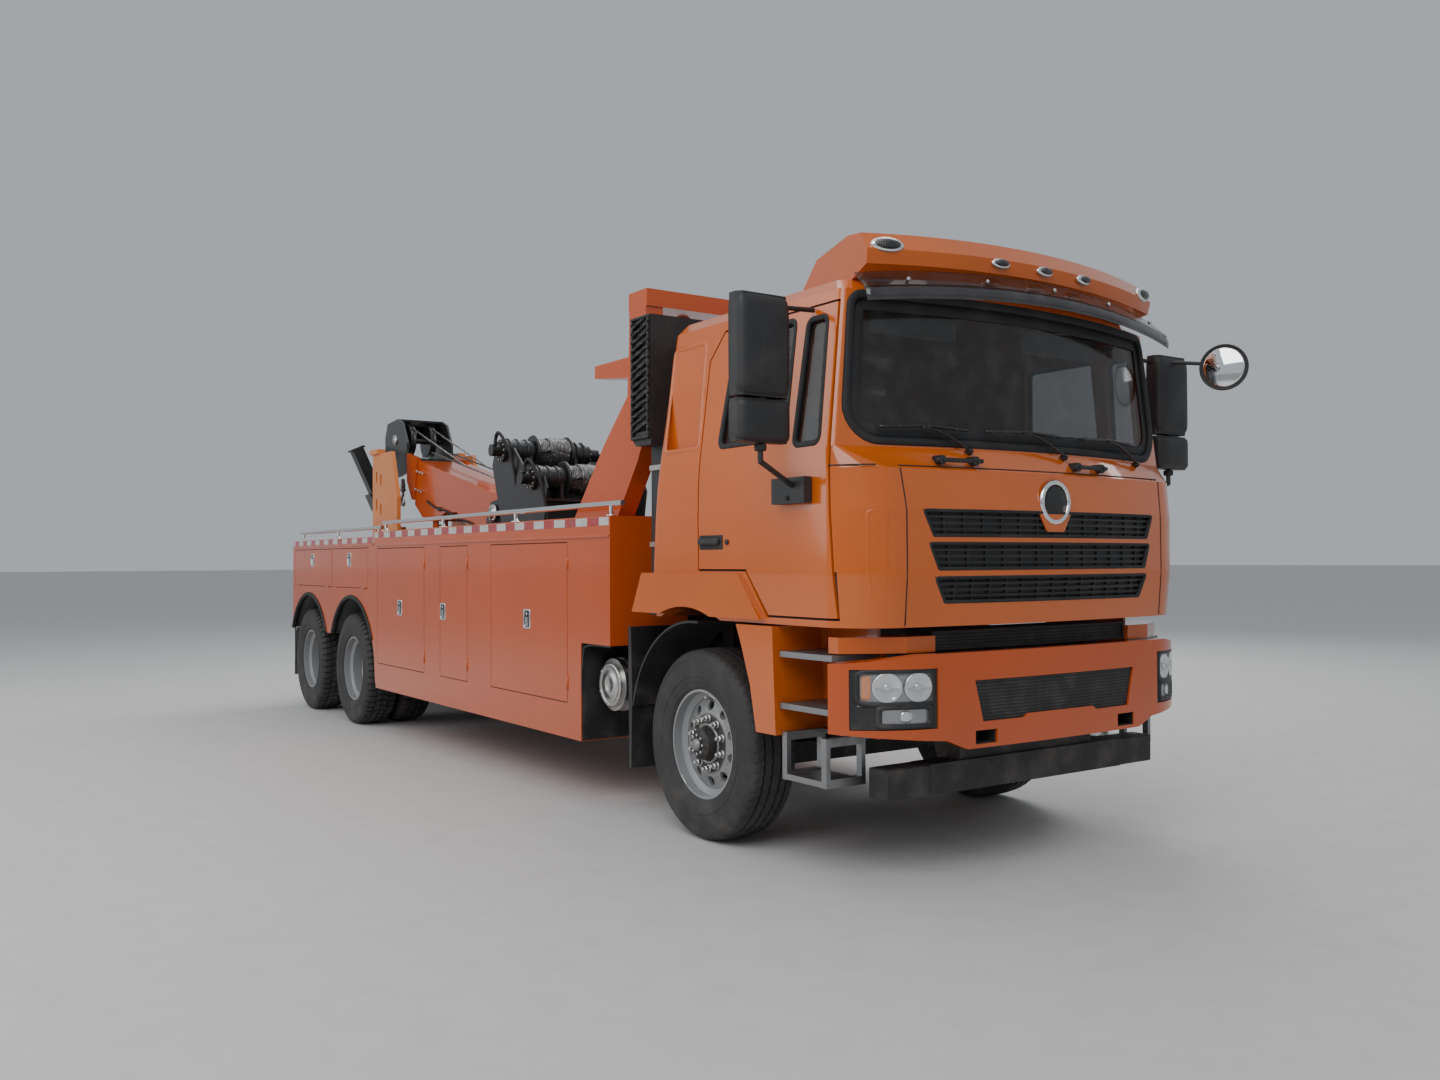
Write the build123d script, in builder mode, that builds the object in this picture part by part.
from build123d import *
import os
from math import asin, atan2, cos, degrees, hypot, radians, sin, sqrt

os.makedirs("parts", exist_ok=True)

# Heavy recovery truck: a 6x4 tractor chassis with a tilting cab, lockers along both sides,
# a hydraulic boom with two winches, and an underlift folded up behind its mast.
# +X is forward, +Y the truck's left and +Z up. The origin is on the ground, at the centre of
# the outline. Sizes are millimetres. Places named *_x are measured forward from the front
# axle, and fx() turns them into the model's frame.

# Overall
front_overhang = 1505
wheelbase = 5775
bogie_spacing = 1400
tail_reach = 1015
overall_length = front_overhang + wheelbase + bogie_spacing + tail_reach
front_axle = overall_length / 2 - front_overhang
rear_axle_1 = front_axle - wheelbase
rear_axle_2 = rear_axle_1 - bogie_spacing
body_half = 1250
gap = 6

# Wheels
tyre_radius = 520
tyre_width = 298
rim_radius = 298
rim_width = 226
rim_wall = 14
front_tyre_y = 1014
rear_track_half = 930
dual_half = 170
hub_gap = 8
drum_radius = 205
steer_pin_y = 860
steer_pin_radius = 25

# Chassis
rail_outer = 430
rail_width = 80
rail_web = 10
rail_top = 1020
rail_height = 300
rail_front_x = 1150
rail_rear_x = -7300
deck_top = 1110
deck_rear_x = -7200
body_front_x = -810
body_rear_x = -7780
deck_thick = 50


def fx(x):
    """A distance forward of the front axle, in the model's frame."""
    return front_axle + x


def block(x0, x1, y0, y1, z0, z1, mode=Mode.ADD):
    """A flat-sided block between two corners."""
    with Locations(((x0 + x1) / 2, (y0 + y1) / 2, (z0 + z1) / 2)):
        Box(abs(x1 - x0), abs(y1 - y0), abs(z1 - z0), mode=mode)


def side_profile(points, y0, y1, round_by=0, mode=Mode.ADD):
    """An outline seen from the side, in x from the front axle and z, carried from y0 to y1."""
    with BuildSketch(Plane.XZ.offset(-max(y0, y1))) as outline:
        with BuildLine():
            Polyline([(fx(x), z) for x, z in points], close=True)
        make_face()
        if round_by:
            fillet(vertices(), round_by)
    extrude(outline.sketch, amount=abs(y1 - y0), mode=mode)


def rod(start, end, radius, mode=Mode.ADD):
    """A round bar between two points."""
    run = Vector(*end) - Vector(*start)
    with BuildSketch(Plane(origin=start, z_dir=run)) as section:
        Circle(radius)
    extrude(section.sketch, amount=run.length, mode=mode)


def turned(centre, side, profile, mode=Mode.ADD):
    """A profile of (outward distance, radius) points turned about the wheel axis."""
    with BuildSketch(Plane(origin=centre, x_dir=(0, side, 0), z_dir=(1, 0, 0))) as section:
        with BuildLine():
            Polyline(profile, close=True)
        make_face()
    revolve(section.sketch, axis=Axis(centre, (0, 1, 0)), mode=mode)


def finish(builder, name):
    """Labels one piece and writes it."""
    builder.part.label = name
    export_step(builder.part, f"parts/{name}.step")


def pocket_rows(count, pitch):
    """Centred places of a row of like things."""
    return [(i - (count - 1) / 2) * pitch for i in range(count)]


# Chassis frame: two channel rails with their flanges inwards, cross members, the under-run
# beam at the front, and the tail-lamp outriggers.
crossmember_x = (1020, -1850, -2950, -4150, -5175, -6475, -7230)
underrun_front_x = 1180
with BuildPart() as frame:
    for side in (1, -1):
        block(fx(rail_rear_x), fx(rail_front_x), side * (rail_outer - rail_web), side * rail_outer,
              rail_top - rail_height, rail_top)
        for z in (rail_top - rail_height, rail_top - rail_web):
            block(fx(rail_rear_x), fx(rail_front_x), side * (rail_outer - rail_width),
                  side * rail_outer, z, z + rail_web)
    for x in crossmember_x:
        block(fx(x) - 60, fx(x) + 60, -rail_outer + rail_web, rail_outer - rail_web,
              rail_top - 180, rail_top - 4 * rail_web)
    # Front under-run beam, wider and taller in the middle, on two hangers from the rails.
    block(fx(underrun_front_x), fx(underrun_front_x + 130), -710, 710, 400, 546)
    block(fx(underrun_front_x + 20), fx(underrun_front_x + 110), -490, 490, 540, 623)
    for side in (1, -1):
        side_profile([(underrun_front_x - 210, rail_top - 100), (underrun_front_x - 40, rail_top - 100),
                      (underrun_front_x + 30, 620), (underrun_front_x + 30, 430),
                      (underrun_front_x - 60, 430)],
                     side * (rail_outer - rail_web), side * (rail_outer + 15))
    # Tail outriggers that carry the lamps, outside the mast.
    for side in (1, -1):
        block(fx(body_rear_x - 20), fx(body_rear_x + 35), side * 620, side * 1150, 660, 760)
        block(fx(body_rear_x - 20), fx(body_rear_x), side * 640, side * 1130, 750, 1320)
finish(frame, "frame")

# Running gear: the engine with its gearbox, both shafts, the beam and drive axles and the
# springs, as separate solids.
front_beam_z = 430
hub_z = tyre_radius
drum_inner_rear = rear_track_half - dual_half - tyre_width / 2 - 30
with BuildPart() as running_gear:
    block(fx(-420), fx(900), -310, 310, 560, 1150)
    block(fx(-1250), fx(-425), -200, 200, 620, 960)
    with BuildSketch(Plane.YZ.offset(fx(905))):
        with Locations((0, 830)):
            Circle(300)
    extrude(amount=40)
    rod((fx(-1260), 0, 780), (rear_axle_1 + 210, 0, hub_z + 40), 60)
    rod((rear_axle_1 - 170, 0, hub_z + 40), (rear_axle_2 + 210, 0, hub_z + 40), 60)
    # Front beam, dropped in the middle, with an eye for each steering pin.
    beam_lift = hub_z - front_beam_z
    with BuildSketch(Plane.YZ.offset(fx(-45))):
        with BuildLine():
            Polyline([(-steer_pin_y, hub_z + 60), (-steer_pin_y, hub_z - 60),
                      (-790, hub_z - 60), (-560, front_beam_z - 70), (560, front_beam_z - 70),
                      (790, hub_z - 60), (steer_pin_y, hub_z - 60), (steer_pin_y, hub_z + 60),
                      (700, hub_z + 40), (500, front_beam_z + 50), (-500, front_beam_z + 50),
                      (-700, hub_z + 40)], close=True)
        make_face()
    extrude(amount=90)
    for side in (1, -1):
        with BuildSketch(Plane.XY.offset(hub_z - 60)):
            with Locations((front_axle, side * steer_pin_y)):
                Circle(55)
        extrude(amount=120)
        rod((front_axle, side * steer_pin_y, hub_z - 70), (front_axle, side * steer_pin_y, hub_z + 70),
            steer_pin_radius + 1, mode=Mode.SUBTRACT)
        # Front leaf spring, from the beam up to the rail.
        side_profile([(-820, 690), (-500, 590), (-90, front_beam_z + 54), (90, front_beam_z + 54),
                      (500, 590), (820, 690), (820, 720), (500, 640), (90, 560), (-90, 560),
                      (-500, 640), (-820, 720)], side * 350, side * rail_outer)
        # Rear balance beam with its spring pack and trunnion between the two axles.
        side_profile([(-5660, 640), (-6475, 700), (-7290, 640), (-7290, 600), (-6475, 560),
                      (-5660, 600)], side * 350, side * rail_outer)
        block(fx(-6570), fx(-6380), side * 350, side * rail_outer, 690, 720)
    # Rear axle housings with their round differential cases and brake back plates.
    for axle in (rear_axle_1, rear_axle_2):
        rod((axle, -drum_inner_rear + 20, hub_z), (axle, drum_inner_rear - 20, hub_z), 82)
        with Locations((axle, 0, hub_z + 20)):
            Sphere(205)
        for side in (1, -1):
            rod((axle, side * (drum_inner_rear - 20), hub_z),
                (axle, side * (drum_inner_rear - hub_gap), hub_z), drum_radius - 10)
finish(running_gear, "running_gear")

# Wheels. Each tyre is a plain ring with rounded shoulders. The front wheel's disc stands
# proud of the rim, and a rear pair shares one hub and one node, with a deeply dished outer disc.
tyre_section = [(-0.42, 0.0), (-0.49, 0.22), (-0.5, 0.50), (-0.455, 0.86), (-0.36, 0.975),
                (0.0, 1.0), (0.36, 0.975), (0.455, 0.86), (0.5, 0.50), (0.49, 0.22), (0.42, 0.0)]


def tyre_profile(middle):
    """Tyre section as outward distance and radius, about a middle plane."""
    depth = tyre_radius - rim_radius
    return [(middle + w * tyre_width, rim_radius + r * depth) for w, r in tyre_section]


def rim_profile(middle):
    """Rim barrel: seats under the beads with a drop centre between them."""
    half = rim_width / 2 + 8
    seat, well = rim_radius - 1, rim_radius - 34
    return [(middle - half, seat), (middle - half, seat - rim_wall), (middle - 70, seat - rim_wall),
            (middle - 52, well - rim_wall), (middle + 52, well - rim_wall),
            (middle + 70, seat - rim_wall), (middle + half, seat - rim_wall), (middle + half, seat),
            (middle + 62, seat), (middle + 47, well), (middle - 47, well), (middle - 62, seat)]


hand_hole_radius = 27
hand_hole_circle = 205
hand_hole_count = 10


def hand_holes(centre, side, y0, y1):
    """The ring of hand holes through a wheel disc."""
    with BuildSketch(Plane(origin=(centre[0], centre[1] + side * y0, centre[2]),
                           x_dir=(0, 0, 1), z_dir=(0, side, 0))) as ring:
        with PolarLocations(hand_hole_circle, hand_hole_count):
            Circle(hand_hole_radius)
    extrude(ring.sketch, amount=y1 - y0, mode=Mode.SUBTRACT)


front_disc = 60
for side, tag in ((-1, "right"), (1, "left")):
    centre = (front_axle, side * front_tyre_y, hub_z)
    with BuildPart() as tyre:
        turned(centre, side, tyre_profile(0))
    finish(tyre, f"tyre_front_{tag}")
    with BuildPart() as wheel:
        turned(centre, side, rim_profile(0))
        # Disc, bulged outwards from the barrel to the hub, with the drum behind it.
        turned(centre, side, [(20, rim_radius - 42), (front_disc, 160), (front_disc + 5, 0),
                              (front_disc + 90, 0), (front_disc + 90, 62), (front_disc + 72, 84),
                              (front_disc + 20, 92), (front_disc + 14, 165), (42, rim_radius - 38)])
        hand_holes(centre, side, 0, front_disc + 40)
        turned(centre, side, [(-50, 190), (-50, drum_radius), (front_disc + 2, drum_radius - 25),
                              (front_disc + 2, 170), (0, 170), (0, 190)])
    finish(wheel, f"wheel_front_{tag}")
    # Knuckle: two lugs over the beam's eye, the pin through them, and the back plate.
    with BuildPart() as knuckle:
        for lug in (1, -1):
            z0 = hub_z + lug * (60 + hub_gap)
            block(front_axle - 55, front_axle + 55, side * (steer_pin_y - 45),
                  side * (steer_pin_y + 75), z0, z0 + lug * 45)
        rod((front_axle, side * steer_pin_y, hub_z - 100), (front_axle, side * steer_pin_y, hub_z + 100),
            steer_pin_radius)
        block(front_axle - 60, front_axle + 60, side * (steer_pin_y + 62), side * (steer_pin_y + 75),
              hub_z - 113, hub_z + 113)
        rod((front_axle, side * (steer_pin_y + 75), hub_z), (front_axle, side * (steer_pin_y + 95), hub_z),
            165)
    finish(knuckle, f"knuckle_{tag}")

for axle, axle_tag in ((rear_axle_1, "mid"), (rear_axle_2, "rear")):
    for side, tag in ((-1, "right"), (1, "left")):
        centre = (axle, side * rear_track_half, hub_z)
        with BuildPart() as tyre:
            for middle in (-dual_half, dual_half):
                turned(centre, side, tyre_profile(middle))
        finish(tyre, f"tyre_{axle_tag}_{tag}")
        with BuildPart() as wheel:
            for middle in (-dual_half, dual_half):
                turned(centre, side, rim_profile(middle))
            # Both discs meet at the hub face, and the drum reaches in to the back plate.
            turned(centre, side, [(-dual_half + 20, rim_radius - 42), (-40, 200), (-12, 170), (-12, 90),
                                  (12, 90), (12, 172), (40, 202), (dual_half - 20, rim_radius - 42),
                                  (dual_half - 42, rim_radius - 40), (20, 215), (-20, 215),
                                  (-dual_half + 42, rim_radius - 40)])
            hand_holes(centre, side, -dual_half + 10, dual_half - 10)
            drum_in = drum_inner_rear - rear_track_half
            turned(centre, side, [(drum_in, drum_radius - 23), (drum_in, drum_radius), (-60, drum_radius),
                                  (-38, 198), (-12, 150), (-12, 104), (128, 98), (150, 78), (150, 0),
                                  (-45, 0), (-45, 150), (-62, drum_radius - 23)])
        finish(wheel, f"wheel_{axle_tag}_{tag}")

# Bumper: a curved shell, swept back at its ends, with a mesh opening, tow holes and lamp pockets.
bumper_bottom = 635
bumper_top = 1085
bumper_wall = 45
bumper_end_x = 1200
lamp_y0, lamp_y1 = 815, 1190
lamp_z0, lamp_z1 = 745, 1020
mesh_half = 590
mesh_z0, mesh_z1 = 757, 952
tow_y = 519


def bumper_slab(inset, back_x, z0, z1, mode=Mode.ADD):
    """The bumper's plan outline, moved in by an inset and closed at back_x, from z0 to z1."""
    nose = fx(front_overhang) - inset
    with BuildSketch(Plane.XY.offset(z0)) as plan:
        with BuildLine():
            front = ThreePointArc((fx(1474) - inset, -800), (nose, 0), (fx(1474) - inset, 800))
            left = ThreePointArc(front @ 1, (fx(1400) - inset, 1045 - inset),
                                 (fx(1255) - inset, 1215 - inset))
            end = Line(left @ 1, (fx(back_x), body_half - 6 - inset))
            back = Line(end @ 1, (fx(back_x), -(body_half - 6 - inset)))
            side_line = Line(back @ 1, (fx(1255) - inset, -(1215 - inset)))
            ThreePointArc(side_line @ 1, (fx(1400) - inset, -(1045 - inset)), front @ 0)
        make_face()
    extrude(plan.sketch, amount=z1 - z0, mode=mode)


with BuildPart() as bumper:
    bumper_slab(0, bumper_end_x, bumper_bottom, bumper_top)
    bumper_slab(bumper_wall, bumper_end_x - 100, bumper_bottom, bumper_top, mode=Mode.SUBTRACT)
    # Lower edge rises outboard and the top edge falls away at the ends.
    for side in (1, -1):
        with BuildSketch(Plane.YZ.offset(fx(bumper_end_x - 50))):
            with BuildLine():
                Polyline([(side * 640, bumper_bottom), (side * 760, 682), (side * 1260, 726),
                          (side * 1260, 600), (side * 640, 600)], close=True)
            make_face()
            with BuildLine():
                Polyline([(side * 900, bumper_top), (side * 1260, bumper_top - 45),
                          (side * 1260, bumper_top + 20), (side * 900, bumper_top + 20)], close=True)
            make_face()
        extrude(amount=400, mode=Mode.SUBTRACT)
        # Lamp pocket and tow hole.
        block(fx(bumper_end_x + 30), fx(1600), side * lamp_y0, side * lamp_y1, lamp_z0, lamp_z1,
              mode=Mode.SUBTRACT)
        block(fx(1300), fx(1600), side * (tow_y - 70), side * (tow_y + 70), 653, 717,
              mode=Mode.SUBTRACT)
    with BuildSketch(Plane.YZ.offset(fx(1300))):
        with BuildLine():
            Polyline([(-mesh_half, mesh_z1), (-mesh_half + 50, mesh_z0), (-270, mesh_z0),
                      (-240, mesh_z0 + 18), (240, mesh_z0 + 18), (270, mesh_z0),
                      (mesh_half - 50, mesh_z0), (mesh_half, mesh_z1)], close=True)
        make_face()
    extrude(amount=300, mode=Mode.SUBTRACT)
    # Brackets back to the rails.
    for side in (1, -1):
        block(fx(rail_front_x - 60), fx(1455), side * rail_outer, side * (rail_outer + 20),
              rail_top - 50, rail_top + 30)
finish(bumper, "bumper")

# Bumper mesh and lamp bezels, set in the openings with a seat on the bumper's inside face.
mesh_bar = 14
with BuildPart() as bumper_trim:
    bumper_slab(bumper_wall, 1200, mesh_z0 - 12, mesh_z1 + 12)
    bumper_slab(bumper_wall + 14, 1150, mesh_z0 - 12, mesh_z1 + 12, mode=Mode.SUBTRACT)
    block(fx(1000), fx(1600), -mesh_half - 15, mesh_half + 15, 0, 2000, mode=Mode.INTERSECT)
    with BuildSketch(Plane.YZ.offset(fx(1350))):
        with Locations([(y, z) for y in pocket_rows(14, 80) for z in (790, 830, 870, 910)]):
            Rectangle(66, 26)
    extrude(amount=200, mode=Mode.SUBTRACT)
for side in (1, -1):
    with BuildPart() as bezel:
        bumper_slab(6, bumper_end_x + 40, lamp_z0 + 2, lamp_z1 - 2)
        bumper_slab(bumper_wall + 30, bumper_end_x - 60, lamp_z0 + 2, lamp_z1 - 2, mode=Mode.SUBTRACT)
        block(fx(bumper_end_x + 32), fx(1600), side * (lamp_y0 + 2), side * (lamp_y1 - 2),
              0, 2000, mode=Mode.INTERSECT)
        block(fx(1000), fx(1600), side * (lamp_y0 + 28), side * (lamp_y1 - 30),
              lamp_z0 + 105, lamp_z1 - 28, mode=Mode.SUBTRACT)
        block(fx(1000), fx(1600), side * (lamp_y0 + 40), side * (lamp_y1 - 120),
              lamp_z0 + 28, lamp_z0 + 92, mode=Mode.SUBTRACT)
    with bumper_trim:
        add(bezel.part)
finish(bumper_trim, "bumper_trim")

# Lamps: head lamps seated in their bezels, tail lamps on the outriggers.
with BuildPart() as lamps:
    bumper_slab(14, bumper_end_x + 20, lamp_z0 + 12, lamp_z1 - 12)
    bumper_slab(bumper_wall + 60, bumper_end_x - 120, lamp_z0 + 12, lamp_z1 - 12, mode=Mode.SUBTRACT)
    with BuildSketch(Plane.YZ.offset(fx(bumper_end_x + 34))):
        for side in (1, -1):
            with Locations((side * (lamp_y0 + lamp_y1 - 2) / 2, (lamp_z0 + lamp_z1 + 77) / 2)):
                Rectangle(lamp_y1 - lamp_y0 - 58, lamp_z1 - lamp_z0 - 133)
            with Locations((side * (lamp_y0 + lamp_y1 - 80) / 2, lamp_z0 + 60)):
                Rectangle(lamp_y1 - lamp_y0 - 160, 64)
    extrude(amount=500, mode=Mode.INTERSECT)
    for side in (1, -1):
        block(fx(body_rear_x - 50), fx(body_rear_x - 20), side * 700, side * 1110, 665, 755)
finish(lamps, "lamps")

# Step wells: the orange flank behind each step, the wall inside it and the block under the cab.
step_inner = 930
flank_outer = 1240
well_top = 1196
with BuildPart() as step_wells:
    for side in (1, -1):
        side_profile([(470, well_top), (760, well_top), (790, 670), (640, 670), (590, 900), (520, 1085)],
                     side * (flank_outer - 30), side * flank_outer)
        side_profile([(640, well_top), (1190, well_top), (1190, 670), (680, 670), (655, 900)],
                     side * (step_inner - 20), side * step_inner)
        block(fx(650), fx(770), side * (step_inner - 20), side * flank_outer, 1150, well_top)
        side_profile([(745, well_top), (775, well_top), (800, 670), (770, 670)],
                     side * (step_inner - 20), side * flank_outer)
        # Block between bumper and cab, and its bracket to the rail.
        with BuildSketch(Plane.XY.offset(bumper_top)):
            with BuildLine():
                Polyline([(fx(1190), side * 720), (fx(1360), side * 720), (fx(1355), side * 900),
                          (fx(1200), side * 1180), (fx(1130), side * 1180)], close=True)
            make_face()
        extrude(amount=75)
        block(fx(1120), fx(1210), side * (step_inner - 40), side * (step_inner - 10), 700, 1160)
        block(fx(850), fx(940), side * rail_outer, side * (step_inner - 15), 900, 960)
finish(step_wells, "step_wells")

# Step treads, two each side in the well, and the hanging frame with its two open loops below.
with BuildPart() as step_treads:
    for side in (1, -1):
        for z, front in ((1050, 1215), (800, 1185)):
            block(fx(803), fx(front - 20), side * (step_inner + 2), side * 1215, z, z + 28)
        for x in (815, 1110):
            with BuildSketch(Plane.YZ.offset(fx(x))):
                with Locations((side * 1090, 575)):
                    Rectangle(240, 230)
                    Rectangle(190, 150, mode=Mode.SUBTRACT)
            extrude(amount=36)
        block(fx(815), fx(1146), side * 990, side * 1210, 462, 490)
        block(fx(815), fx(1146), side * step_inner, side * 1000, 672, 690)
finish(step_treads, "step_treads")

# Mudguards: a front liner arch over each steered wheel with its flap, and rear liners.
guard_radius = 648
with BuildPart() as mudguards:
    for side in (1, -1):
        with BuildSketch(Plane.XZ.offset(-side * 1195 if side > 0 else 800)):
            with Locations((front_axle, hub_z + 12)):
                Circle(guard_radius + 12)
                Circle(guard_radius, mode=Mode.SUBTRACT)
            with Locations((front_axle + 500, hub_z)):
                Rectangle(900, 2000, mode=Mode.SUBTRACT)
            with Locations((front_axle, hub_z - 500)):
                Rectangle(2000, 1300, mode=Mode.SUBTRACT)
        extrude(amount=395)
        side_profile([(-700, 1130), (-668, 1130), (-655, 720), (-668, 300), (-690, 300)],
                     side * 815, side * 1190)
        block(fx(-700), fx(-640), side * rail_outer, side * 820, 860, 900)
finish(mudguards, "mudguards")

# Tanks: the round silencer in the notch on each side, and the fuel and air tanks under the
# lockers, hung on the rails.
with BuildPart() as side_tanks:
    for side in (1, -1):
        rod((fx(-985), side * 640, 760), (fx(-985), side * 1130, 760), 160)
        rod((fx(-985), side * 1130, 760), (fx(-985), side * 1150, 760), 135)
        block(fx(-1060), fx(-910), side * rail_outer, side * 650, 720, 800)
    for x0, x1, side in ((-2600, -1400, 1), (-2000, -1400, -1), (-3600, -2900, 1)):
        with BuildSketch(Plane.YZ.offset(fx(x0))):
            with Locations((side * 560, 650)):
                RectangleRounded(230, 330, 50)
        extrude(amount=x1 - x0)
finish(side_tanks, "side_tanks")

# Service body. Each side locker is a hollow box with its wheel arches and door openings cut.
locker_inner = 700
locker_wall = 40
locker_top = 1790
locker_top_rear = 1745
locker_step_x = -5110
skirt_bottom = 400
notch_x = -1180
arch_radius = 680
arch_z = 512
door_thick = 30
# Doors: name, rear x, front x, bottom z, top z, hinge edge.
doors = (
    ("door_c", -2550, -1360, 620, 1640, "front"),
    ("door_b", -3530, -2980, 620, 1640, "front"),
    ("door_a", -5020, -3870, 620, 1640, "front"),
    ("flap_front", -6370, -5280, 1275, 1650, "bottom"),
    ("flap_rear", -7700, -6390, 1275, 1650, "bottom"),
)
with BuildPart() as lockers:
    for side in (1, -1):
        outer, inner = side * body_half, side * locker_inner
        side_profile([(body_front_x, 1010), (body_front_x, locker_top), (locker_step_x, locker_top),
                      (locker_step_x, locker_top_rear), (body_rear_x, locker_top_rear),
                      (body_rear_x, 820), (-5200, 820), (-5060, skirt_bottom),
                      (notch_x, skirt_bottom), (notch_x, 1010)], inner, outer)
        for axle in (rear_axle_1, rear_axle_2):
            rod((axle, side * (locker_inner - 10), arch_z), (axle, side * (body_half + 10), arch_z),
                arch_radius, mode=Mode.SUBTRACT)
        for name, x0, x1, z0, z1, edge in doors:
            top = locker_top if x0 > locker_step_x else locker_top_rear
            low = z0 - 60 if edge == "bottom" else skirt_bottom + locker_wall
            # Compartment behind the opening, then the opening itself.
            block(fx(x0 - 40), fx(x1 + 40), inner + side * locker_wall,
                  outer - side * (door_thick + 3), low if edge == "front" else z0 - 30,
                  top - locker_wall, mode=Mode.SUBTRACT)
            block(fx(x0), fx(x1), outer - side * (door_thick + 4), outer + side * 5, z0, z1,
                  mode=Mode.SUBTRACT)
finish(lockers, "lockers")

for side, tag in ((-1, "right"), (1, "left")):
    outer = side * body_half
    for name, x0, x1, z0, z1, edge in doors:
        with BuildPart() as door:
            block(fx(x0) + gap, fx(x1) - gap, outer - side * door_thick, outer, z0 + gap, z1 - gap)
            # Recess for the paddle latch: near the middle, near the rear edge, or high on a flap.
            latch_x = (x0 + x1) / 2 if x1 - x0 > 700 else x0 + 60
            latch_z = 1130 if edge == "front" else z1 - 110
            block(fx(latch_x) - 32, fx(latch_x) + 32, outer - side * 14, outer + side * 1,
                  latch_z - 55, latch_z + 55, mode=Mode.SUBTRACT)
            block(fx(latch_x) - 20, fx(latch_x) + 20, outer - side * 14, outer - side * 2,
                  latch_z - 40, latch_z + 40)
        finish(door, f"{name}_{tag}")

# Bed deck between the lockers: the floor on the rails, the front bulkhead, the tail plate and
# the two turret ears that hold the boom's foot.
boom_pivot_x, boom_pivot_z = -4600, 1950
lift_foot_x, lift_foot_z = -5350, 1190
lift_eye_x, lift_eye_z = -6300, 1850
lift_y = 165
lift_pin = 28
boom_pin_radius = 45
boom_half = 270
ear_thick = 30
mast_y = 435
mast_plate = 40
mast_x0, mast_x1 = -7500, -6720
mast_top = 2690
deck_pad = 6
with BuildPart() as bed_deck:
    block(fx(deck_rear_x), fx(body_front_x), -locker_inner, locker_inner, deck_top - deck_thick, deck_top)
    # Raised tread plate on the open deck between the bulkhead and the winches.
    block(fx(-3050), fx(-1330), -620, 620, deck_top, deck_top + deck_pad)
    for side in (1, -1):
        block(fx(deck_rear_x), fx(body_front_x), side * (rail_outer - 70), side * rail_outer, rail_top,
              deck_top - deck_thick)
        # Slots for the mast's side plates.
        block(fx(deck_rear_x - 10), fx(mast_x1), side * mast_y, side * (mast_y + mast_plate),
              deck_top - deck_thick, deck_top, mode=Mode.SUBTRACT)
    block(fx(body_front_x - 30), fx(body_front_x), -locker_inner, locker_inner, deck_top, 1700)
    for side in (1, -1):
        y0 = side * (boom_half + 8)
        side_profile([(-5050, deck_top), (-4780, 1960), (-4700, 2060), (-4520, 2080), (-4400, 1990),
                      (-4150, deck_top)], y0, y0 + side * ear_thick)
        block(fx(-5000), fx(-4200), y0, y0 + side * 140, deck_top, deck_top + 30)
    rod((fx(boom_pivot_x), -boom_half - 60, boom_pivot_z), (fx(boom_pivot_x), boom_half + 60, boom_pivot_z),
        boom_pin_radius)
    # Foot brackets of the lift cylinders.
    for side in (1, -1):
        for y in (lift_y - 92, lift_y + 72):
            side_profile([(lift_foot_x - 120, deck_top), (lift_foot_x - 50, lift_foot_z + 50),
                          (lift_foot_x + 50, lift_foot_z + 50), (lift_foot_x + 120, deck_top)],
                         side * y, side * (y + 20))
        rod((fx(lift_foot_x), side * (lift_y - 80), lift_foot_z),
            (fx(lift_foot_x), side * (lift_y + 80), lift_foot_z), lift_pin - 1)
finish(bed_deck, "bed_deck")

# Handrails along both lockers.
rail_tube = 17
rail_y = 1195
with BuildPart() as handrails:
    for side in (1, -1):
        y = side * rail_y
        rod((fx(-5015), y, 1865), (fx(-750), y, 1865), rail_tube)
        rod((fx(-7640), y, 1827), (fx(-5050), y, 1827), rail_tube)
        for x in (-4950, -3600, -2250, -890):
            rod((fx(x), y, locker_top), (fx(x), y, 1865), 12)
        for x in (-7560, -6350, -5145):
            rod((fx(x), y, locker_top_rear), (fx(x), y, 1827), 12)
finish(handrails, "handrails")

# Gantry: two tapering posts that lean forward over the bulkhead, the lamp beam on top and
# the lower beam behind it.
post_y = 1000
post_half = 60
with BuildPart() as gantry:
    for side in (1, -1):
        side_profile([(-1635, locker_top), (-1232, 2243), (-925, 2530), (-900, 2900), (-900, 3050),
                      (-700, 3050), (-700, 2880), (-690, 2330), (-804, 2122), (-1053, locker_top)],
                     side * (post_y - post_half), side * (post_y + post_half))
        side_profile([(-1340, 2690), (-1340, 2770), (-905, 2770), (-905, 2640)],
                     side * (post_y - post_half), side * (post_y + post_half))
    block(fx(-905), fx(-690), -post_y - post_half, post_y + post_half, 3050, 3155)
    block(fx(-1340), fx(-1120), -post_y, post_y, 2700, 2770)
finish(gantry, "gantry")

# Air intake behind the cab's right corner: the tall hood with its louvre slots and its duct.
intake_x0, intake_x1 = -660, -450
with BuildPart() as air_intake:
    side_profile([(intake_x0, 2230), (intake_x0, 2915), (intake_x0 + 30, 2945), (intake_x1, 2945),
                  (intake_x1, 2190), (intake_x0 + 40, 2190)], -1180, -800)
    for z in range(2270, 2900, 60):
        block(fx(intake_x0 + 25), fx(intake_x1 - 25), -1190, -1150, z, z + 26, mode=Mode.SUBTRACT)
    side_profile([(intake_x0 + 50, 2195), (intake_x1 - 20, 2195), (intake_x1 - 20, 1480),
                  (intake_x0 + 50, 1480)], -1080, -860)
    side_profile([(intake_x0 + 20, 1200), (intake_x1 - 40, 1200), (intake_x1 - 20, 1500),
                  (intake_x0 + 50, 1500)], -1080, -500)
    side_profile([(intake_x0 + 40, 900), (intake_x1 - 60, 900), (intake_x1 - 60, 1220),
                  (intake_x0 + 40, 1220)], -560, -rail_outer)
finish(air_intake, "air_intake")

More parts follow.
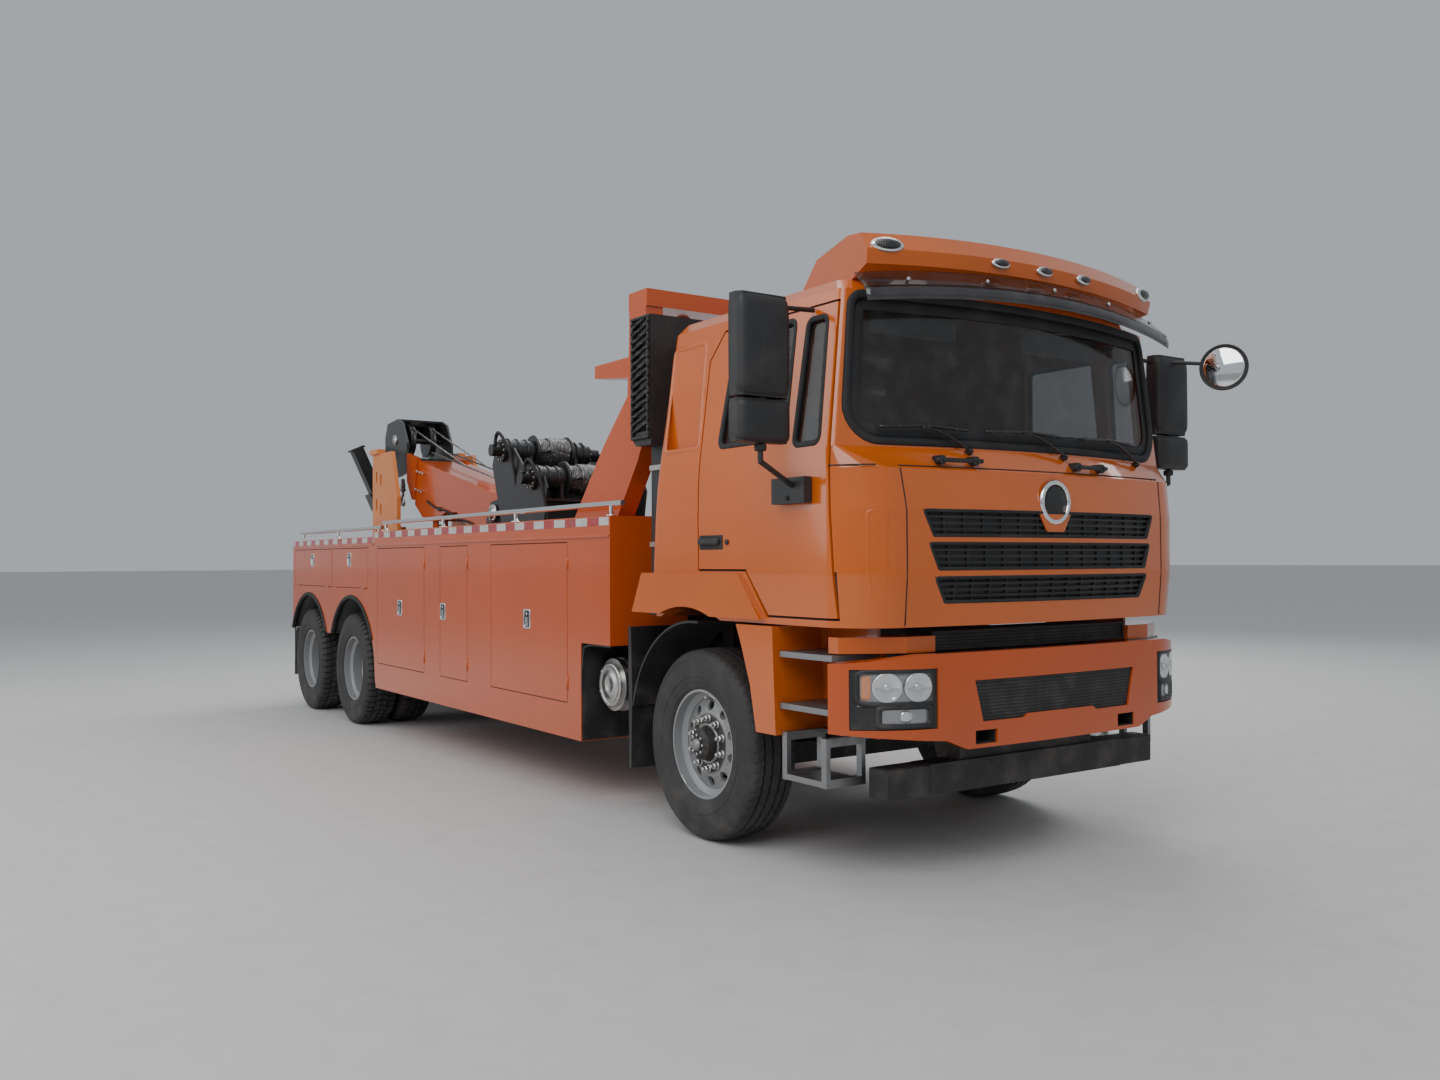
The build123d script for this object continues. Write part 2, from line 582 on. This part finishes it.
# Winches: upper over the boom foot, lower ahead of it, on one folded-plate stand.
winch_axes = (("drum_upper", -4060, 2470), ("drum_lower", -3480, 2200))
drum_y0, drum_y1 = -205, 135
flange_radius = 145
rope_radius = 104
core_radius = 62
cradle_half = 470
with BuildPart() as winch_stand:
    for side in (1, -1):
        side_profile([(-4300, 2360), (-4240, 2480), (-3860, 2480), (-3640, 2290), (-3620, 2210),
                      (-3290, 2210), (-3230, 2110), (-3420, deck_top), (-4020, deck_top),
                      (-4110, 1850)], side * (cradle_half - 16), side * cradle_half)
        block(fx(-4060), fx(-3380), side * (cradle_half - 90), side * cradle_half, deck_top, deck_top + 24)
    block(fx(-3880), fx(-3860), -cradle_half, cradle_half, deck_top, 2250)
    for name, x, z in winch_axes:
        block(fx(x - 130), fx(x + 130), -cradle_half, cradle_half, z - 190, z - 168)
        # Gear case, motor and brake end, clear of the drum.
        for y0, y1, radius in ((-500, drum_y0 - 12, 98), (-590, -500, 52),
                               (drum_y1 + 12, 330, 92), (330, 430, 60)):
            rod((fx(x), y0, z), (fx(x), y1, z), radius)
        for y in (drum_y0 - 60, drum_y1 + 30):
            block(fx(x - 90), fx(x + 90), y, y + 30, z - 172, z)
finish(winch_stand, "winch_stand")
for name, x, z in winch_axes:
    with BuildPart() as drum:
        for y in (drum_y0, drum_y1 - 14):
            rod((fx(x), y, z), (fx(x), y + 14, z), flange_radius)
        rod((fx(x), drum_y0 + 14, z), (fx(x), drum_y1 - 14, z), rope_radius)
    finish(drum, name)

# Mast: two slotted side plates outside the rails, tied across the front.
with BuildPart() as mast:
    for side in (1, -1):
        side_profile([(mast_x0, 760), (mast_x0, mast_top), (mast_x1 - 180, mast_top), (mast_x1, 2200),
                      (mast_x1, deck_top), (mast_x1 - 200, 760)],
                     side * mast_y, side * (mast_y + mast_plate))
    with BuildSketch(Plane.XZ.offset(-600)):
        with Locations([(fx(x), z) for x, z in ((-7370, 2440), (-7230, 2400), (-7370, 2140),
                                                (-7230, 2080), (-7370, 1840))]):
            SlotOverall(130, 44, rotation=90)
    extrude(amount=1200, mode=Mode.SUBTRACT)
    block(fx(mast_x1 - 60), fx(mast_x1 - 30), -mast_y, mast_y, deck_top, 1500)
    # Guide rails for the column and the saddle blocks on top.
    for side in (1, -1):
        block(fx(mast_x0), fx(mast_x0 + 260), side * 190, side * 230, rail_top, 1900)
        block(fx(mast_x0), fx(mast_x0 + 30), side * 190, side * (mast_y + 5), rail_top, 1900)
        block(fx(mast_x0 - 20), fx(mast_x0 + 240), side * (mast_y - 20), side * (mast_y + 70),
              mast_top, mast_top + 50)
finish(mast, "mast")

# Cab. Its shell is lofted through plan outlines, one per level, of straight sides, rounded
# rear corners, a corner arc and one arc across the front.
# Columns: level, rear x, half width, x where the side ends, front corner x and y, nose x, and
# how far the level drops for each millimetre of inset.
cab_levels = (
    (1206, -390, 1215, 1165, 1392, 950, 1452, -2.0),
    (1450, -390, 1232, 1180, 1412, 950, 1480, 0.0),
    (1750, -362, 1235, 1185, 1410, 950, 1480, 0.0),
    (1940, -345, 1230, 1180, 1385, 965, 1452, 0.0),
    (2045, -335, 1221, 1168, 1214, 1195, 1385, 0.0),
    (2790, -298, 1124, 1136, 1182, 1098, 1345, 0.5),
    (2850, -280, 1065, 1060, 1110, 1030, 1280, 0.85),
    (2895, -150, 880, 880, 920, 850, 1060, 1.0),
)
rear_corner = 70
cab_wall = 55
glass_inset, glass_thick = 18, 7
door_gap = 11
# Inner edge of the sill, where the cab floor stops beside a door.
sill_y = 1152
cab_floor_top = 1316


def cab_solid(inset, mode=Mode.ADD):
    """The cab's outside form, moved in by an inset."""
    faces_at = []
    for z, rear, half, side_x, corner_x, corner_y, nose, drop in cab_levels:
        with BuildSketch(Plane.XY.offset(z - drop * inset)) as level:
            with BuildLine():
                y = half - inset
                x0, x1 = fx(rear) + inset, fx(side_x) - 0.4 * inset
                cx, cy = fx(corner_x) - inset, corner_y - 0.6 * inset
                Line((x0, rear_corner - y), (x0, y - rear_corner))
                RadiusArc((x0, y - rear_corner), (x0 + rear_corner, y), rear_corner)
                Line((x0 + rear_corner, y), (x1, y))
                SagittaArc((x1, y), (cx, cy), 0.16 * hypot(cx - x1, cy - y))
                ThreePointArc((cx, cy), (fx(nose) - inset, 0), (cx, -cy))
                SagittaArc((cx, -cy), (x1, -y), 0.16 * hypot(cx - x1, cy - y))
                Line((x1, -y), (x0 + rear_corner, -y))
                RadiusArc((x0 + rear_corner, -y), (x0, rear_corner - y), rear_corner)
            make_face()
        faces_at.append(level.sketch)
    loft(sections=faces_at, ruled=True, mode=mode)


def side_prism(points, grow, side, y0=900, y1=1400, round_by=0, mode=Mode.INTERSECT):
    """A side outline grown by an amount, carried outwards on one side of the cab."""
    with BuildSketch(Plane.XZ.offset(-y1 if side > 0 else y0)) as outline:
        with BuildLine():
            Polyline([(fx(x), z) for x, z in points], close=True)
        make_face()
        if round_by:
            fillet(vertices(), round_by)
        if grow:
            offset(amount=grow, kind=Kind.INTERSECTION, mode=Mode.REPLACE)
    extrude(outline.sketch, amount=y1 - y0, mode=mode)


def screen_prism(mode, grow=0, back_x=950):
    """The windscreen's outline from the front, with large lower corners."""
    with BuildSketch(Plane.YZ.offset(fx(back_x))) as outline:
        with BuildLine():
            Polyline([(-1150, 2080), (1150, 2080), (1072, 2762), (-1072, 2762)], close=True)
        make_face()
        fillet(vertices().group_by(Axis.Y)[0], 150)
        fillet(vertices().group_by(Axis.Y)[-1], 60)
        if grow:
            offset(amount=grow, mode=Mode.REPLACE)
    extrude(outline.sketch, amount=700, mode=mode)


def door_block(grow, side):
    """The solid that a cab door is cut with: its side outline less the pillar and the floor."""
    with BuildPart() as cutter:
        side_prism(door_outline, grow, side, y0=900, mode=Mode.ADD)
        screen_prism(Mode.SUBTRACT, grow=26 - grow, back_x=1100 + grow)
        block(fx(500), fx(1300), side * 800, side * (sill_y - grow), 1100, cab_floor_top + 20 - grow,
              mode=Mode.SUBTRACT)
    return cutter.part


def swept_strip(profile, tilt, nose, half_y, mode=Mode.ADD):
    """A section bent round the cab's front: turned about a tilted axis behind it, both ways."""
    bend = 3975
    t = radians(tilt)
    centre = (fx(nose[0]) - bend * cos(t), 0, nose[1] - bend * sin(t))
    turn = Axis(centre, (-sin(t), 0, cos(t)))
    with BuildSketch(Plane.XZ) as section:
        with BuildLine():
            Polyline([(fx(x), z) for x, z in profile], close=True)
        make_face()
    arc = degrees(asin(half_y / bend))
    for sign in (1, -1):
        revolve(section.sketch, axis=Axis(centre, (-sign * sin(t), 0, sign * cos(t))),
                revolution_arc=arc, mode=mode)


door_outline = ((115, 1462), (545, 1462), (712, 1238), (1230, 1238), (1168, 2738), (235, 2738), (115, 2590))
window_main = ((285, 2110), (850, 2110), (850, 2690), (352, 2690))
window_quarter = ((922, 2066), (1114, 2066), (1092, 2672), (948, 2672))
fender_outline = ((-550, 1225), (-440, 1450), (505, 1450), (690, 1225))
fender_arch_radius = 700
sleeper_recess = ((-250, 2120), (95, 2120), (95, 2570), (40, 2700), (-250, 2700))

with BuildPart() as cab_skin:
    cab_solid(0)
    cab_solid(cab_wall, mode=Mode.SUBTRACT)

with BuildPart() as cab_shell:
    add(cab_skin.part)
    for side in (1, -1):
        add(door_block(0, side), mode=Mode.SUBTRACT)
        side_prism(sleeper_recess, 0, side, y0=1168, mode=Mode.SUBTRACT)
        side_profile(fender_outline, side * 1120, side * (body_half + 4))
        rod((front_axle, side * 780, 570), (front_axle, side * 1300, 570), fender_arch_radius,
            mode=Mode.SUBTRACT)
        side_prism(((705, 1236), (712, 1238), (1230, 1238), (1232, 1462), (545, 1462)), 0, side,
                   y0=sill_y, mode=Mode.SUBTRACT)
    screen_prism(Mode.SUBTRACT)
    # Grille slots through the front panel. Columns: bottom, top, half width at each.
    for z0, z1, low, high in ((1626, 1751, 795, 855), (1470, 1597, 768, 822), (1315, 1437, 725, 790)):
        with BuildSketch(Plane.YZ.offset(fx(1300))):
            with BuildLine():
                Polyline([(-low, z0), (low, z0), (high, z1), (-high, z1)], close=True)
            make_face()
        extrude(amount=300, mode=Mode.SUBTRACT)
    # Roof fairing over the screen, with the seats of its five marker lamps.
    swept_strip(((1060, 2860), (1180, 2860), (1408, 2918), (1425, 2985), (1365, 3072), (1225, 3092),
                 (860, 3060), (560, 2880)), 10, (1425, 2985), 1060)
finish(cab_shell, "cab_shell")

with BuildPart() as cab_glass:
    cab_solid(glass_inset)
    cab_solid(glass_inset + glass_thick, mode=Mode.SUBTRACT)
    screen_prism(Mode.INTERSECT)
    # Smoked visor under the fairing.
    swept_strip(((1396, 2906), (1484, 2826), (1490, 2832), (1402, 2912)), 24, (1440, 2870), 1120)
finish(cab_glass, "cab_glass")

# Grille slats set behind the slots, and the wiper arms with their blades.
with BuildPart() as grille:
    cab_solid(24)
    cab_solid(cab_wall - 5, mode=Mode.SUBTRACT)
    with BuildSketch(Plane.YZ.offset(fx(1300))):
        for z0, z1, low, high in ((1626, 1751, 795, 855), (1470, 1597, 768, 822), (1315, 1437, 725, 790)):
            with BuildLine():
                Polyline([(-low + 1, z0 + 1), (low - 1, z0 + 1), (high - 1, z1 - 1), (-high + 1, z1 - 1)],
                         close=True)
            make_face()
    extrude(amount=300, mode=Mode.INTERSECT)
finish(grille, "grille")

# Cab doors with their glass and mirrors.
mirror_x = 1030
round_mirror_radius = 130
mirror_y0, mirror_y1 = 1375, 1665
for side, tag in ((-1, "right"), (1, "left")):
    with BuildPart() as cab_door:
        add(cab_skin.part)
        add(door_block(-door_gap, side), mode=Mode.INTERSECT)
        for window in (window_main, window_quarter):
            side_prism(window, 0, side, round_by=35, mode=Mode.SUBTRACT)
    finish(cab_door, f"cab_door_{tag}")
    with BuildPart() as door_glass:
        cab_solid(glass_inset)
        cab_solid(glass_inset + glass_thick, mode=Mode.SUBTRACT)
        with BuildSketch(Plane.XZ.offset(-1400 if side > 0 else 900)) as panes:
            for window in (window_main, window_quarter):
                with BuildLine():
                    Polyline([(fx(x), z) for x, z in window], close=True)
                make_face()
            fillet(vertices(), 35)
        extrude(amount=500, mode=Mode.INTERSECT)
    finish(door_glass, f"door_glass_{tag}")
    with BuildPart() as mirror_part:
        # Two housings on a bent tube, and the bracket on the door.
        for z0, z1 in ((2258, 2725), (2052, 2246)):
            block(fx(mirror_x), fx(mirror_x + 72), side * mirror_y0, side * mirror_y1, z0, z1)
        chamfer(edges().filter_by(Axis.Z).sort_by(Axis.X)[-4:], 25)
        block(fx(mirror_x + 20), fx(mirror_x + 50), side * 1500, side * 1540, 2240, 2262)
        rod((fx(mirror_x + 36), side * 1520, 2060), (fx(mirror_x + 36), side * 1520, 1960), 13)
        rod((fx(mirror_x + 36), side * 1520, 1966), (fx(mirror_x - 40), side * 1262, 1860), 13)
        block(fx(835), fx(1085), side * 1239, side * 1285, 1785, 1908)
        rod((fx(mirror_x + 36), side * 1480, 2680), (fx(mirror_x - 40), side * 1145, 2712), 12)
        if side > 0:
            rod((fx(mirror_x + 60), 1500, 2690), (fx(1372), 1640, 2650), 11)
            with BuildSketch(Plane(origin=(fx(1368), 1636, 2632), z_dir=(0.35, -0.93, 0))):
                Circle(round_mirror_radius)
            extrude(amount=24)
    finish(mirror_part, f"mirror_{tag}")

# Cab interior: two seats on their boxes, the dash and the steering wheel on its column.
with BuildPart() as cab_interior:
    for y in (-560, 560):
        block(fx(120), fx(520), y - 190, y + 190, cab_floor_top, 1590)
        side_profile([(90, 1592), (600, 1592), (620, 1640), (600, 1700), (110, 1690)], y - 250, y + 250,
                     round_by=20)
        side_profile([(95, 1693), (190, 1693), (60, 2330), (-30, 2330)], y - 240, y + 240, round_by=20)
    block(fx(-300), fx(-90), -1100, 1100, cab_floor_top, 1700)
    side_profile([(880, 1690), (900, 1900), (1010, 1985), (1130, 1985), (1130, cab_floor_top),
                  (1040, cab_floor_top)], -1050, 1050)
    rod((fx(900), -560, 1840), (fx(760), -560, 1930), 35)
    with Locations(Plane(origin=(fx(755), -560, 1933), z_dir=(-0.84, 0, 0.54))):
        Torus(225, 17)
        Box(430, 45, 20)
        Box(45, 430, 20)
finish(cab_interior, "cab_interior")

# Boom. Its outer box deepens towards the rear and turns on a pin at its foot, and the inner
# section slides out of it with the rope head on its end. The boom lies at a slope when stowed.
boom_slope = 12.7
boom_top_x, boom_top_z = -4400, 2075
inner_half, inner_depth = 185, 330
boom_plate = 24
boom_slack = 9
outer_end_x = -6650


def along(x, drop=0.0):
    """A point at x on the boom's top line, set square down from it by a drop."""
    s = tan_slope
    return (x - drop * sin(radians(boom_slope)), boom_top_z + s * (boom_top_x - x)
            - drop * cos(radians(boom_slope)))


tan_slope = sin(radians(boom_slope)) / cos(radians(boom_slope))
with BuildPart() as boom_outer:
    side_profile([along(boom_top_x), along(outer_end_x), along(outer_end_x, 470), (-6540, 1985),
                  (-6320, 1935), (-6080, 1960), (-5900, 2010), (-5600, 2000), (-5300, 1830),
                  (-4680, 1845), (-4480, 1870), (-4400, 1960)], -boom_half, boom_half)
    # The inner section's tunnel, open at the rear.
    side_profile([along(-4900, boom_plate), along(outer_end_x - 200, boom_plate),
                  along(outer_end_x - 200, boom_plate + inner_depth + 2 * boom_slack),
                  along(-4900, boom_plate + inner_depth + 2 * boom_slack)],
                 -inner_half - boom_slack, inner_half + boom_slack, mode=Mode.SUBTRACT)
    rod((fx(boom_pivot_x), -boom_half - 5, boom_pivot_z), (fx(boom_pivot_x), boom_half + 5, boom_pivot_z),
        boom_pin_radius + 1, mode=Mode.SUBTRACT)
    # Collar plates at the mouth and the guide plates hanging beside it.
    for side in (1, -1):
        side_profile([along(outer_end_x + 10, -30), along(outer_end_x - 300, -30),
                      along(outer_end_x - 230, 260), along(outer_end_x - 60, 420),
                      along(outer_end_x + 10, 420)], side * (boom_half - 20), side * (boom_half + 22))
    # Raised rope guide near the foot.
    side_profile([along(-5200), along(-5150, -45), along(-4950, -45), along(-4900)], -boom_half + 40,
                 boom_half - 40)
    # Lift cylinder eyes under the belly.
    for side in (1, -1):
        for y in (lift_y - 60, lift_y + 40):
            block(fx(lift_eye_x - 60), fx(lift_eye_x + 60), side * y, side * (y + 20), lift_eye_z - 60, 1960)
        # Pin heads on the lugs' outer faces.
        for y0, y1 in ((lift_y - 66, lift_y - 60), (lift_y + 60, lift_y + 66)):
            rod((fx(lift_eye_x), side * y0, lift_eye_z), (fx(lift_eye_x), side * y1, lift_eye_z), 34)
finish(boom_outer, "boom_outer")

head_half = 262
with BuildPart() as boom_inner:
    side_profile([along(-5000, boom_plate + boom_slack), along(-7080, boom_plate + boom_slack),
                  along(-7080, boom_plate + boom_slack + inner_depth),
                  along(-5000, boom_plate + boom_slack + inner_depth)], -inner_half, inner_half)
    # Rope head: two cheeks, a cowl over them and a sheave for each rope.
    for side in (1, -1):
        side_profile([(-7020, 2480), (-7020, 2800), (-7160, 3030), (-7300, 3085), (-7640, 3060),
                      (-7720, 2900), (-7700, 2560), (-7420, 2430)],
                     side * (head_half - 24), side * head_half)
    side_profile([(-7300, 3085), (-7640, 3060), (-7720, 2900), (-7690, 2900), (-7622, 3040),
                  (-7305, 3062)], -head_half, head_half)
    side_profile([(-7020, 2480), (-7020, 2620), (-7120, 2640), (-7180, 2470)], -head_half, head_half)
    rod((fx(-7380), -head_half, 2860), (fx(-7380), head_half, 2860), 32)
    for y in (-115, 115):
        rod((fx(-7380), y - 28, 2860), (fx(-7380), y + 28, 2860), 168)
finish(boom_inner, "boom_inner")

# Lift cylinders, a pair between the deck brackets and the boom. The rod's eye stays open.
lift_run = hypot(lift_eye_x - lift_foot_x, lift_eye_z - lift_foot_z)
lift_dir = ((lift_eye_x - lift_foot_x) / lift_run, (lift_eye_z - lift_foot_z) / lift_run)


def lift_point(distance, y):
    """A point on a lift cylinder's line, measured from its foot pin."""
    return (fx(lift_foot_x + lift_dir[0] * distance), y, lift_foot_z + lift_dir[1] * distance)


barrel_length = lift_run - 150
with BuildPart() as lift_barrels:
    for y in (-lift_y, lift_y):
        with BuildSketch(Plane(origin=lift_point(0, y), z_dir=(lift_dir[0], 0, lift_dir[1]))) as tube:
            Circle(62)
        extrude(tube.sketch, amount=barrel_length)
        rod(lift_point(100, y), lift_point(barrel_length + 10, y), 36, mode=Mode.SUBTRACT)
        rod((fx(lift_foot_x), y - 64, lift_foot_z), (fx(lift_foot_x), y + 64, lift_foot_z), 62)
        rod((fx(lift_foot_x), y - 70, lift_foot_z), (fx(lift_foot_x), y + 70, lift_foot_z), lift_pin,
            mode=Mode.SUBTRACT)
finish(lift_barrels, "lift_barrels")
with BuildPart() as lift_rods:
    for y in (-lift_y, lift_y):
        rod(lift_point(130, y), lift_point(lift_run - 40, y), 35)
        rod((fx(lift_eye_x), y - 34, lift_eye_z), (fx(lift_eye_x), y + 34, lift_eye_z), 52)
        # The eye ends short of the lugs, because it drifts a little between them as the boom lifts.
finish(lift_rods, "lift_rods")

# Underlift, folded up behind the mast: a column in the mast's guides, the arm pinned to its
# foot, the stinger inside the arm, and the cross bar that swivels on the stinger's head.
column_half, column_x0, column_x1 = 180, -7640, -7400
arm_pivot_x, arm_pivot_z = -7830, 800
arm_half, arm_x0, arm_x1 = 110, -7935, -7735
arm_top = 1480
bar_pivot_z = 1760
bar_x0, bar_x1 = -8130, -8000
bar_half_length, bar_half, bar_tilt = 1150, 62, 24.5
with BuildPart() as underlift_column:
    block(fx(column_x0), fx(mast_x0 - 6), -column_half, column_half, 690, 1880)
    for side in (1, -1):
        block(fx(mast_x0 - 20), fx(column_x1), side * (column_half - 24), side * column_half, 1060, 1860)
        side_profile([(column_x0 + 10, 690), (column_x0 + 10, 930), (arm_pivot_x - 20, 880),
                      (arm_pivot_x - 60, 800), (arm_pivot_x - 20, 715)],
                     side * (arm_half + 8), side * (arm_half + 40))
    rod((fx(arm_pivot_x), -arm_half - 40, arm_pivot_z), (fx(arm_pivot_x), arm_half + 40, arm_pivot_z), 38)
finish(underlift_column, "underlift_column")

with BuildPart() as underlift_arm:
    side_profile([(arm_x0, 780), (arm_x0, arm_top), (arm_x1, arm_top), (arm_x1, 780), (arm_pivot_x + 50, 730),
                  (arm_pivot_x - 50, 730)], -arm_half, arm_half)
    block(fx(arm_x0 + 24), fx(arm_x1 - 24), -arm_half + 24, arm_half - 24, 900, arm_top + 10,
          mode=Mode.SUBTRACT)
    rod((fx(arm_pivot_x), -arm_half - 5, arm_pivot_z), (fx(arm_pivot_x), arm_half + 5, arm_pivot_z), 39,
        mode=Mode.SUBTRACT)
finish(underlift_arm, "underlift_arm")

with BuildPart() as stinger:
    block(fx(arm_x0 + 33), fx(arm_x1 - 33), -arm_half + 33, arm_half - 33, 960, bar_pivot_z + 60)
    block(fx(bar_x1 + 8), fx(arm_x0 + 60), -100, 100, bar_pivot_z - 110, bar_pivot_z + 110)
    rod((fx(bar_x1 + 20), 0, bar_pivot_z), (fx(bar_x0 - 20), 0, bar_pivot_z), 40)
finish(stinger, "stinger")

bar_plane = Plane(origin=(fx(bar_x0), 0, bar_pivot_z), z_dir=(1, 0, 0),
                  x_dir=(0, -sin(radians(bar_tilt)), cos(radians(bar_tilt))))
socket_at = 520
socket_bore = 32
with BuildPart() as crossbar:
    with BuildSketch(bar_plane):
        Rectangle(2 * bar_half_length, 2 * bar_half)
        Rectangle(300, 2 * bar_half + 60)
        with Locations((bar_half_length, 0), (-bar_half_length, 0)):
            Rectangle(24, 2 * bar_half + 40)
    extrude(amount=bar_x1 - bar_x0)
    with BuildSketch(bar_plane.offset(-60)):
        with Locations((socket_at, 0), (-socket_at, 0)):
            Rectangle(200, 2 * bar_half + 60)
    extrude(amount=bar_x1 - bar_x0 + 70)
    rod((fx(bar_x0 - 100), 0, bar_pivot_z), (fx(bar_x1 + 30), 0, bar_pivot_z), 41, mode=Mode.SUBTRACT)
    with BuildSketch(bar_plane.offset(-80)):
        with Locations((socket_at, 0), (-socket_at, 0)):
            Circle(socket_bore)
    extrude(amount=bar_x1 - bar_x0 + 120, mode=Mode.SUBTRACT)
finish(crossbar, "crossbar")
print("overall length", overall_length, "front axle", front_axle)
